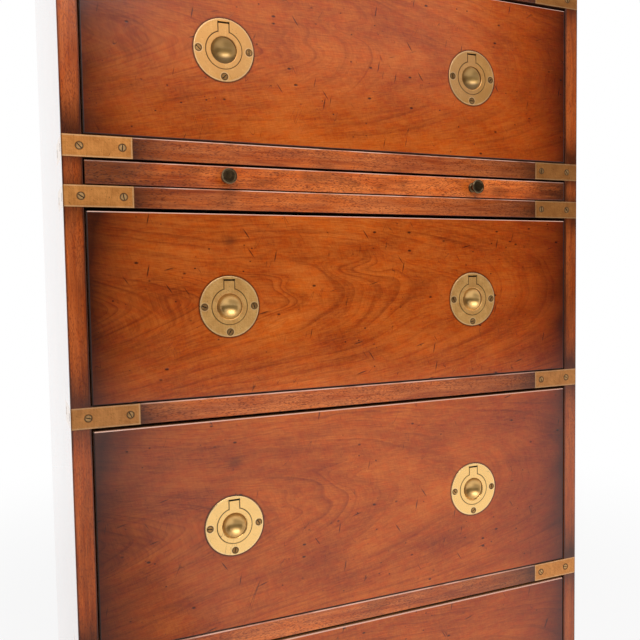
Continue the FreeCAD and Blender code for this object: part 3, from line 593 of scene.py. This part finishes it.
def old_brass(name, tones, roughness, wear, varnish=0.0, cleaned=0.0):
    """Satin brass, clean in places and dull in others, with rubbing marks and fine scratches.

    wear takes the recipe and the place. It returns where dirt, and in places painted shade, lies,
    where the brass is tarnished, as the inside of a finger cup is, and where a highlight is painted
    on. varnish, from 0 to 1, is how much lacquer is left. cleaned, from -0.5 to 0.5, is how far the
    whole fitting is from half dull, at 0, to all dull or all clean."""
    r = Recipe(name)
    x, y, z = r.place()
    cloud = r.noise((x / 13, y / 13, z / 13), 4.0, 0.6)
    specks = r.smooth(r.noise((x / 1.3, y / 1.3, z / 1.3), 2.0), 0.66, 0.76)
    rubbed = r.noise((x / 6, y / 6, z / 0.6), 2.0)
    upright = r.noise((x / 0.6, y / 0.6, z / 9), 2.0)
    slanted = r.noise(((x + z) / 0.8, y / 3, (x - z) / 10), 1.0)
    brushed = (rubbed - 0.5) * 0.4 + (upright - 0.5) * 0.4 + (slanted - 0.5) * 0.3
    tone = (cloud - 0.5) * 0.8 + brushed + (cleaned + 0.5)
    dull, clean = tones
    colour = r.mix(r.smooth(tone, 0.22, 0.78), dull, clean)
    scores = scratches(r, x + y, z, 3.3, 0.2) * 0.5 + scratches(r, x + y, z, 7.7, -0.7) * 0.4
    colour = r.mix(r.math("MINIMUM", specks * 0.5 + scores, 0.8), colour, BRASS_DIRT)
    dirt, tarnish, bright = wear(r, x, y, z)
    colour = r.mix(tarnish, colour, TARNISHED_BRASS)
    # The painted highlight is mixed in here.
    colour = r.mix(bright, colour, PAINTED_HIGHLIGHT_BRASS)
    colour = r.mix(dirt, colour, BRASS_DIRT)
    satin = roughness + (cloud - 0.5) * 0.14 + specks * 0.15
    return r.finish(
        {
            "Base Color": colour,
            "Metallic": 1 - r.smooth(dirt, 0.5, 1.0) * 0.7,
            "Roughness": satin + (TARNISHED_ROUGHNESS - satin) * tarnish + dirt * 0.3,
            "Coat Weight": r.math("MAXIMUM", r.smooth(r.grazing(), 0.7, 0.9), varnish) * (1 - dirt),
            "Coat Roughness": COAT_ROUGHNESS,
            "Normal": r.bump(rubbed * 0.4 + upright * 0.4 - specks - scores, 0.02),
        }
    )


def strap_wear(r, x, y, z):
    """Dirt round the screw heads, at the ends and on the corner, and a painted highlight along the
    edges.

    What lies behind the front is tarnished, and the upper straps on the right are darkened by
    painted shade."""
    on_front = 1 - r.smooth(y, FRONT + 0.8, FRONT + 1.8)
    dirt = r.hill((from_strap_screw(r, x, y, z) - SCREW_HEAD - 0.1) / 0.6) * 0.9
    dirt = r.math("MAXIMUM", dirt, r.hill((STRAP_END - abs(x)) / 0.5) * 0.7)
    dirt = r.math("MAXIMUM", dirt, r.hill((HALF_WIDTH - abs(x)) / 1.1) * on_front * 0.8)
    # Painted shade on the upper straps on the right, standing for the dim room that they reflect.
    dirt = r.math("MAXIMUM", dirt, r.smooth(x, 0, HALF_WIDTH) * r.smooth(z, 500, 900) * 0.38)
    # A painted highlight along the straps' upper and lower edges and near their ends.
    edge = r.hill((nearest(r, z, RAIL_LEVELS) - RAIL_HEIGHT / 2 + 0.7) / 0.5)
    edge = r.math("MAXIMUM", edge, r.hill((abs(x) - STRAP_END - 1.1) / 0.5)) * on_front * 0.4
    return dirt, r.smooth(y, FRONT + 1, FRONT + 3) * 0.6, edge


def ring_outline(r, x, z, level):
    """Dirt in the joint round a ring and its tab, with painted shadow making it darkest at the
    upper left.
    """
    across = abs(fold(x, PULL_OFFSET))
    up = z - level
    on_tab = r.smooth(up, RING_RADIUS - 2.4, RING_RADIUS - 1)
    upper_left_shadow = r.smooth(up - x + r.math("SIGN", x) * PULL_OFFSET, -24, 16)
    beside_ring = r.hill((r.length(across, up) - RING_RADIUS) / 0.5) * (upper_left_shadow * 0.5 + 0.5)
    beside_ring = beside_ring * (1 - on_tab * (1 - r.smooth(across, TAB_HALF - 0.6, TAB_HALF)))
    beside_tab = r.hill((across - TAB_HALF) / 0.5) * on_tab * (1 - r.smooth(up, TAB_TOP, TAB_TOP + 0.5))
    return r.math("MAXIMUM", beside_ring, beside_tab)


def plate_wear(level, cup_dirt):
    def wear(r, x, y, z):
        """Dirt round the ring and the screws, dirt and painted shadow at the rim, painted highlights
        inside the rim and beside the screws, and a tarnished cup with dust low in it.
        """
        radius = from_pull(r, x, z, level)
        below = r.smooth(y, PLATE_FACE + 0.5, PLATE_FACE + 1.2)
        gap = below * r.smooth(radius, CUP_RADIUS, CUP_RADIUS + 1)
        # Dirt and painted shadow at the plate's rim.
        rim = r.smooth(radius, PLATE_RADIUS - 0.3, PLATE_RADIUS) * 0.6
        from_head = from_plate_screw(r, x, z, level) - SCREW_HEAD
        screws = r.hill((from_head - 0.1) / 0.4) * 0.8
        dirt = r.math("MAXIMUM", r.math("MAXIMUM", gap, rim), screws)
        dirt = r.math("MAXIMUM", dirt, ring_outline(r, x, z, level) * 0.9)
        cup = 1 - r.smooth(radius, CUP_RADIUS - 0.8, CUP_RADIUS)
        settled = 1 - r.smooth(z - level, -6, -1)
        dirt = r.math("MAXIMUM", dirt, cup * (settled * (cup_dirt + 0.16) + cup_dirt))
        # Painted highlights inside the rim and beside the screw heads.
        bright = r.hill((radius - PLATE_RADIUS + 0.9) / 0.45) * 0.5
        bright = r.math("MAXIMUM", bright, r.hill((from_head - 1.0) / 0.45) * 0.35)
        return dirt * 0.96, cup, bright

    return wear


def from_plate_screw(r, x, z, level):
    """Distance to the nearest of a plate's three screws: one each side, and one at the bottom."""
    across = fold(x, PULL_OFFSET)
    up = z - level
    sideways = r.length(abs(across) - PLATE_SCREW_RADIUS, up)
    return r.math("MINIMUM", sideways, r.length(across, up + PLATE_SCREW_RADIUS))


def ring_wear(level):
    def wear(r, x, y, z):
        """The ring's sides are dirty below its face, and its edge has dirt and painted shadow."""
        sides = r.smooth(y, PLATE_FACE + 0.9, PLATE_FACE + 1.8) * 0.8
        return r.math("MAXIMUM", sides, ring_outline(r, x, z, level) * 0.9), 0.0, 0.0

    return wear


def screw_wear(r, x, y, z):
    """Dirt and painted shade in the slots, which are deeper than the faces round them, and dirt at
    the edges of the heads.
    """
    depth = r.math("MINIMUM", y - PLATE_FACE - 0.5, BACK - y)
    depth = r.math("MINIMUM", depth, HALF_WIDTH - abs(x))
    depth = r.math("MINIMUM", depth, TOP - z)
    edge = r.hill((from_strap_screw(r, x, y, z) - SCREW_HEAD) / 0.65)
    return r.math("MAXIMUM", r.smooth(depth, 0.1, 0.3) * 0.98, edge * 0.9), 0.0, 0.0


def plate_screw_wear(level):
    def wear(r, x, y, z):
        """Dirt and painted shade in the slots, and dirt at the edges of the heads."""
        slot = r.smooth(y, PLATE_FACE + 0.1, PLATE_FACE + 0.3) * 0.98
        edge = r.hill((from_plate_screw(r, x, z, level) - SCREW_HEAD) / 0.55)
        return r.math("MAXIMUM", slot, edge * 0.95), 0.0, 0.0

    return wear


def knob_bronze(name):
    """Dark bronzed knobs whose rims are rubbed bright."""
    r = Recipe(name)
    x, y, z = r.place()
    across = fold(x, KNOB_OFFSET)
    up = z - middle("slide_knobs", 2)
    radius = r.length(across, up)
    on_disc = 1 - r.smooth(y, FRONT - 9.5, FRONT - 8)
    rim = r.hill((radius - KNOB_RIM) / 0.9) * on_disc
    cloud = r.noise((x / 4, y / 4, z / 4), 3.0)
    turned = r.noise((radius * 2.2, 0.0, y / 3), 1.0)
    colour = r.ramp(cloud * 0.7 + turned * 0.3, [(0.3, paint(74, 58, 40)), (0.7, paint(120, 96, 66))])
    colour = r.mix(rim * 0.35, colour, paint(150, 128, 98))
    return r.finish(
        {
            "Base Color": colour,
            "Metallic": 1.0,
            "Roughness": cloud * 0.2 + 0.24 - rim * 0.08,
            "Normal": r.bump(turned, 0.02),
        }
    )


def plain_steel(name):
    """Drawn steel rod."""
    r = Recipe(name)
    x, y, z = r.place()
    drawn = r.noise((x / 0.6, y / 9, z / 0.6), 2.0)
    colour = r.ramp(drawn, [(0.3, paint(120, 118, 115)), (0.7, paint(165, 163, 160))])
    return r.finish(
        {
            "Base Color": colour,
            "Metallic": 1.0,
            "Roughness": drawn * 0.2 + 0.3,
            "Normal": r.bump(drawn, 0.02),
        }
    )


# ---------------------------------------------------------------- dressing the nodes


def dress(material, *nodes):
    for node in nodes:
        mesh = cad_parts[node].data
        mesh.materials.clear()
        mesh.materials.append(material)


MAHOGANY = (paint(146, 62, 24), paint(214, 118, 56))
LIP_TONES = (paint(156, 66, 22), paint(230, 124, 54))
SIDE_TONES = (paint(128, 54, 18), paint(196, 98, 38))
OAK = (paint(150, 106, 62), paint(192, 148, 96))
PINE = (paint(160, 116, 72), paint(204, 160, 108))
PLY = (paint(118, 78, 46), paint(156, 108, 68))
PLATE_TONES = (paint(230, 168, 96), paint(255, 205, 128))
STRAP_TONES = (paint(200, 128, 64), paint(232, 160, 88))
STRAP_SCREW_TONES = (paint(180, 128, 74), paint(236, 188, 128))
PLATE_SCREW_TONES = (paint(140, 96, 52), paint(206, 156, 98))

# From the top drawer down: the reach of the dark polish from the left end, the strength of the
# growth lines, how rough and how clean the plates and rings are, and the dirt in the finger cups.
END_SHADE = dict(zip(DRAWERS, (50.0, 50.0, 50.0, 78.0, 60.0)))
FIGURE = dict(zip(DRAWERS, (0.8, 0.75, 1.05, 0.85, 0.85)))
PLATE_ROUGHNESS = dict(zip(DRAWERS, (0.48, 0.5, 0.5, 0.22, 0.3)))
PLATE_CLEANED = dict(zip(DRAWERS, (0.0, -0.25, -0.05, 0.45, 0.2)))
CUP_DIRT = dict(zip(DRAWERS, (0.32, 0.32, 0.0, 0.0, 0.1)))

rail_wood = straight_wood("rail_mahogany", 0, MAHOGANY, rail_shade, pores=1.1, tops=RAIL_TOPS)
lip_wood = straight_wood("slide_lip_mahogany", 0, LIP_TONES, lip_shade, pores=1.2, tops=[LIP_TOP])
side_wood = straight_wood("side_veneer", 2, SIDE_TONES, side_shade, 0.2, 0.9, varnish=1.0)
top_wood = straight_wood("top_veneer", 0, SIDE_TONES, None, 0.24, 0.8, varnish=0.6)
plinth_wood = straight_wood("plinth_mahogany", 0, MAHOGANY, plinth_shade, 0.32)
plinth_side_wood = straight_wood("plinth_side_mahogany", 1, MAHOGANY, plinth_shade, 0.32)
slide_wood = straight_wood("slide_veneer", 0, SIDE_TONES, None, 0.32, 0.8)
dress(rail_wood, "front_rails", "bottom_board")
dress(lip_wood, "slide_lip")
dress(side_wood, "side_left", "side_right")
dress(top_wood, "top_board")
dress(plinth_wood, "plinth_front", "plinth_back")
dress(plinth_side_wood, "plinth_sides")
dress(slide_wood, "slide_board")
dress(bare_wood("runner_pine", 1, PINE), "drawer_runners", "drawer_stops", "plinth_blocks")
dress(bare_wood("back_plywood", 2, PLY, 0.5), "back_panel")
dress(bare_wood("drawer_plywood", 0, PLY, 0.5), *[d + "_bottom" for d in DRAWERS])
dress(bare_wood("drawer_side_oak", 1, OAK, 0.5), *[d + "_sides" for d in DRAWERS])
dress(bare_wood("drawer_back_oak", 0, OAK, 0.5), *[d + "_back" for d in DRAWERS])

strap_brass = old_brass("strap_brass", STRAP_TONES, 0.5, strap_wear, varnish=0.3)
dress(strap_brass, "straps", "top_corners", "base_corners")
dress(old_brass("screw_brass", STRAP_SCREW_TONES, 0.4, screw_wear), "brass_screws")
for number, drawer in enumerate(DRAWERS, start=1):
    level = pull_level(drawer)
    satin = PLATE_ROUGHNESS[drawer]
    veneer = figured_front(drawer + "_front", level, number, END_SHADE[drawer], FIGURE[drawer])
    surface = {"varnish": 0.5, "cleaned": PLATE_CLEANED[drawer]}
    worn_plate = plate_wear(level, CUP_DIRT[drawer])
    plate_brass = old_brass(drawer + "_plate_brass", PLATE_TONES, satin, worn_plate, **surface)
    ring_brass = old_brass(drawer + "_ring_brass", PLATE_TONES, satin, ring_wear(level), **surface)
    worn_heads = plate_screw_wear(level)
    screw_brass = old_brass(drawer + "_plate_screw_brass", PLATE_SCREW_TONES, 0.4, worn_heads)
    dress(veneer, drawer + "_front")
    dress(plate_brass, drawer + "_pull_bases")
    dress(ring_brass, *[f"{drawer}_ring_{side}" for side in SIDES])
    dress(screw_brass, drawer + "_pull_fixings")
dress(knob_bronze("knob_bronze"), "slide_knobs")
dress(plain_steel("stud_steel"), "knob_studs")


# ---------------------------------------------------------------- the studio


def seen_directly(r):
    """1 for what the camera, a mirror or glass sees, and 0 for light that is only cast."""
    path = r.node("LightPath")
    seen = Wire(r, path.outputs["Is Camera Ray"])
    for kind in ("Is Glossy Ray", "Is Transmission Ray"):
        seen = r.math("MAXIMUM", seen, Wire(r, path.outputs[kind]))
    return seen


def flat_panel(name, corners, material):
    mesh = bpy.data.meshes.new(name)
    mesh.from_pydata(corners, [], [(0, 1, 2, 3)])
    mesh.materials.append(material)
    panel = bpy.data.objects.new(name, mesh)
    bpy.context.scene.collection.objects.link(panel)
    return panel


def level_corners(left, right, front, back, level):
    return [(left, front, level), (right, front, level), (right, back, level), (left, back, level)]


def upright_corners(left, right, y, height):
    return [(left, y, 0.0), (right, y, 0.0), (right, y, height), (left, y, height)]


def hidden_card(name, corners, material):
    """A card that is seen only in the reflections on the chest."""
    card = flat_panel(name, corners, material)
    card.visible_camera = False
    card.visible_diffuse = False
    card.visible_shadow = False
    card.visible_transmission = False


def floor_paper():
    """White paper that keeps a soft shadow round the chest, and shows as plain white further off."""
    r = Recipe("floor_paper")
    x, y, _ = r.place()
    distance = r.length(x, y)
    plain = r.smooth(distance, SHADOW_REACH[0], SHADOW_REACH[1]) * 0.25 + 0.75
    paper = r.wire("BsdfDiffuse", None, {"Color": (0.93, 0.93, 0.93, 1.0)})
    white = r.wire("Emission", None, {"Color": (1.0, 1.0, 1.0, 1.0), "Strength": 1.0})
    shown = r.wire("MixShader", None, {0: seen_directly(r) * plain, 1: paper, 2: white})
    r.node("OutputMaterial", None, {"Surface": shown})
    return r.material


def grey_card(name, brightness):
    """The dim side of the room, as the polish reflects it."""
    r = Recipe(name)
    grey = r.wire("Emission", None, {"Color": (1.0, 1.0, 1.0, 1.0), "Strength": brightness})
    r.node("OutputMaterial", None, {"Surface": grey})
    return r.material


FLOOR_REACH = 9.0
# Where the paper goes over to plain white, in millimetres from the chest's middle.
SHADOW_REACH = (900.0, 2200.0)
CARD_Y = -4.2
CARD_REACH = 7.0
CARD_GAP = (0.3, 3.0)
LOW_CARD_HEIGHT = 2.1
TALL_CARD_HEIGHT = 5.0
CARD_BRIGHTNESS = 0.02
MAT_LEFT, MAT_RIGHT = -2.5, 0.0
MAT_FRONT, MAT_BACK = -2.2, -0.75
MAT_LEVEL = 0.002
MAT_BRIGHTNESS = 0.4
LAMP_AT = (-0.7, -2.5, 2.7)
LAMP_AIM = (0.0, -0.2, 0.7)
LAMP_SIZE = (2.2, 1.2)
LAMP_POWER = 45.0
WORLD_LIGHT = 0.72

floor_corners = level_corners(-FLOOR_REACH, FLOOR_REACH, -FLOOR_REACH, FLOOR_REACH, 0.0)
flat_panel("floor", floor_corners, floor_paper())

# Three dark cards in front of the chest: tall ones at the sides, and a low one between them.
dark_paint = grey_card("dark_card", CARD_BRIGHTNESS)
card_ends = [-CARD_REACH, *CARD_GAP, CARD_REACH]
card_heights = [TALL_CARD_HEIGHT, LOW_CARD_HEIGHT, TALL_CARD_HEIGHT]
cards = zip(("left_card", "low_card", "right_card"), card_ends, card_ends[1:], card_heights)
for name, left, right, height in cards:
    hidden_card(name, upright_corners(left, right, CARD_Y, height), dark_paint)
mat_corners = level_corners(MAT_LEFT, MAT_RIGHT, MAT_FRONT, MAT_BACK, MAT_LEVEL)
hidden_card("floor_mat", mat_corners, grey_card("mat_grey", MAT_BRIGHTNESS))


def softbox(name, at, aim, size, power):
    light = bpy.data.lights.new(name, "AREA")
    light.shape = "RECTANGLE"
    light.size, light.size_y = size
    light.energy = power
    lamp = bpy.data.objects.new(name, light)
    lamp.location = at
    lamp.rotation_euler = (Vector(aim) - Vector(at)).to_track_quat("-Z", "Y").to_euler()
    bpy.context.scene.collection.objects.link(lamp)


softbox("front_softbox", LAMP_AT, LAMP_AIM, LAMP_SIZE, LAMP_POWER)

world = bpy.data.worlds.new("studio")
bpy.context.scene.world = world
world.use_nodes = True
sky = Recipe("studio", world.node_tree)
seen = seen_directly(sky)
brightness = seen + (1 - seen) * WORLD_LIGHT
background = sky.wire("Background", None, {"Color": (1.0, 1.0, 1.0, 1.0), "Strength": brightness})
sky.node("OutputWorld", None, {"Surface": background})


# ---------------------------------------------------------------- the camera

# Its place is in metres, its turns are in radians, and its sensor and lens are in millimetres.
EYE = (-0.3529, -0.9211, 0.7424)
YAW_RIGHT = 0.4042
PITCH_DOWN = 0.0564
ROLL = -0.0158
SENSOR = 36.0
LENS = 40.63
camera = bpy.data.objects.new("camera", bpy.data.cameras.new("camera"))
camera.data.sensor_width = SENSOR
camera.data.lens = LENS
turn = Matrix.Rotation(-YAW_RIGHT, 4, "Z") @ Matrix.Rotation(math.pi / 2 - PITCH_DOWN, 4, "X")
camera.matrix_world = Matrix.Translation(EYE) @ turn @ Matrix.Rotation(ROLL, 4, "Z")
bpy.context.scene.collection.objects.link(camera)
bpy.context.scene.camera = camera
bpy.context.scene.view_settings.view_transform = "Standard"
